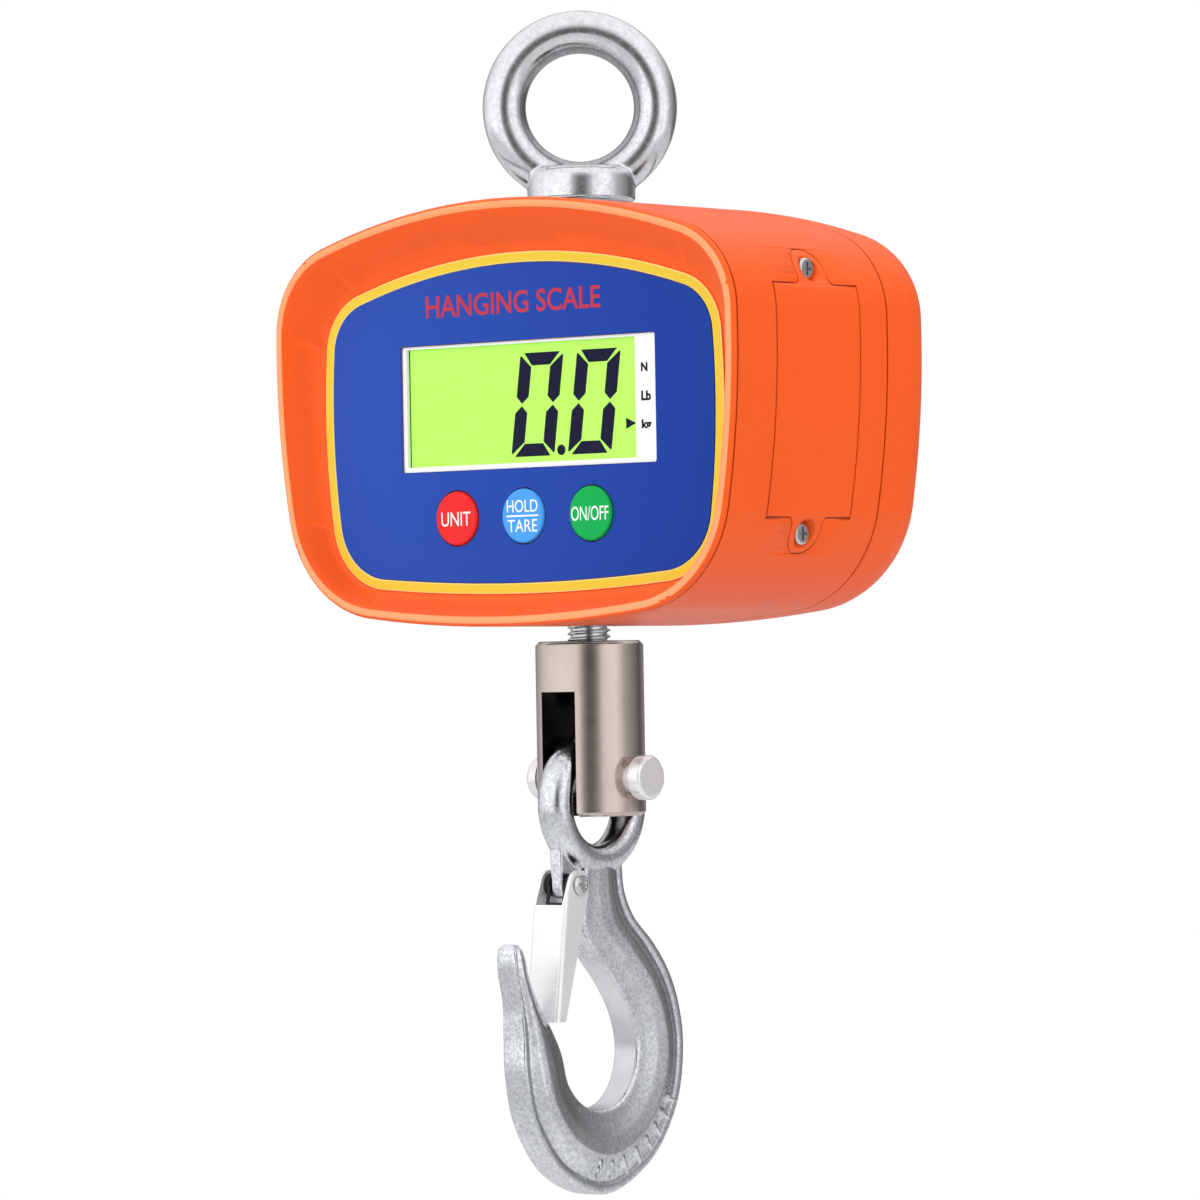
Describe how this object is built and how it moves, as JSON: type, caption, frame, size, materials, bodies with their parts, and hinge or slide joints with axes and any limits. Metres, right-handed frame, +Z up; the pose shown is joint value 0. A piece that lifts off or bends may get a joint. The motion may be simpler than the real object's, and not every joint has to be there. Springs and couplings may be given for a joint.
{
  "type": "crane scale",
  "caption": "Hanging crane scale: lifting eye on top, rounded orange housing with display and keys, swivel fork below and a forged hook with a sprung safety latch.",
  "frame": {"origin": "centre of the lifting eye's ring, on the suspension line", "axes": "+Z up along the suspension line, -Y towards the reader of the display, +X to the right of the reader, towards the battery door"},
  "size_m": [0.1652, 0.0959, 0.3283],
  "materials": {
    "bright_zinc": "polished zinc",
    "orange_abs": "fine leather grain",
    "black_rubber": "soft",
    "screw_steel": "plated",
    "label_blue": "satin print",
    "label_yellow": "satin print",
    "clear_window": "clear",
    "white_plastic": "matt",
    "lcd_green": "lit display",
    "key_red": "satin",
    "key_blue": "satin",
    "key_green": "satin",
    "black_plastic": "matt",
    "board_green": "solder mask",
    "cell_alloy": "milled",
    "battery_jacket": "printed film",
    "polished_steel": "nickel plated",
    "galvanised_steel": "forged and galvanised",
    "spring_steel": "dark wire"
  },
  "bodies": {
    "eye": {"lifting_eye": "bright_zinc"},
    "housing": {"body_shell": "orange_abs", "front_cover": "orange_abs", "rear_cover": "orange_abs", "front_gasket": "black_rubber", "rear_gasket": "black_rubber", "rear_screws": "screw_steel", "cover_screws": "screw_steel", "face_label": "label_blue", "label_border": "label_yellow", "display_window": "clear_window", "display_frame": "white_plastic", "display_glass": "lcd_green", "backlight": "white_plastic", "tact_switches": "black_plastic", "main_board": "board_green", "board_posts": "white_plastic", "board_screws": "screw_steel", "board_chips": "black_plastic", "load_cell": "cell_alloy", "gauge_covers": "cell_alloy", "cell_screws": "screw_steel", "lower_stud": "screw_steel", "lock_nut": "screw_steel", "cell_cable": "black_rubber", "battery_tray": "black_plastic", "batteries": "battery_jacket", "battery_contacts": "screw_steel"},
    "left_key": {"unit_key": "key_red"},
    "middle_key": {"hold_key": "key_blue"},
    "right_key": {"power_key": "key_green"},
    "door": {"battery_door": "orange_abs", "door_screws": "screw_steel"},
    "fork": {"clevis": "polished_steel", "clevis_pin": "polished_steel", "pin_cap": "polished_steel"},
    "load_hook": {"hook": "galvanised_steel", "latch_rivet": "screw_steel", "latch_spring": "spring_steel"},
    "safety_latch": {"latch": "bright_zinc"}
  },
  "joints": [
    {"name": "eye_swivel", "type": "hinge", "parent": "eye", "child": "housing", "pos_m": [0, 0, -0.0267], "axis": [0, 0, 1], "range_deg": [-180, 180]},
    {"name": "unit_press", "type": "slide", "parent": "housing", "child": "left_key", "axis": [0, 1, 0], "range_m": [0, 0.0006], "stiffness_N_per_m": 1600, "springref_m": -0.0003},
    {"name": "hold_press", "type": "slide", "parent": "housing", "child": "middle_key", "axis": [0, 1, 0], "range_m": [0, 0.0006], "stiffness_N_per_m": 1600, "springref_m": -0.0003},
    {"name": "power_press", "type": "slide", "parent": "housing", "child": "right_key", "axis": [0, 1, 0], "range_m": [0, 0.0006], "stiffness_N_per_m": 1600, "springref_m": -0.0003},
    {"name": "door_removal", "type": "slide", "parent": "housing", "child": "door", "axis": [1, 0, 0], "range_m": [0, 0.04]},
    {"name": "fork_swivel", "type": "hinge", "parent": "housing", "child": "fork", "pos_m": [0, 0, -0.155], "axis": [0, 0, 1], "range_deg": [-180, 180]},
    {"name": "hook_swing", "type": "hinge", "parent": "fork", "child": "load_hook", "pos_m": [0, 0, -0.186], "axis": [1, 0, 0], "range_deg": [-80, 80]},
    {"name": "latch_pivot", "type": "hinge", "parent": "load_hook", "child": "safety_latch", "pos_m": [0, -0.0128, -0.2152], "axis": [1, 0, 0], "range_deg": [0, 35], "stiffness_Nm_per_rad": 0.02, "springref_deg": -28.65}
  ]
}
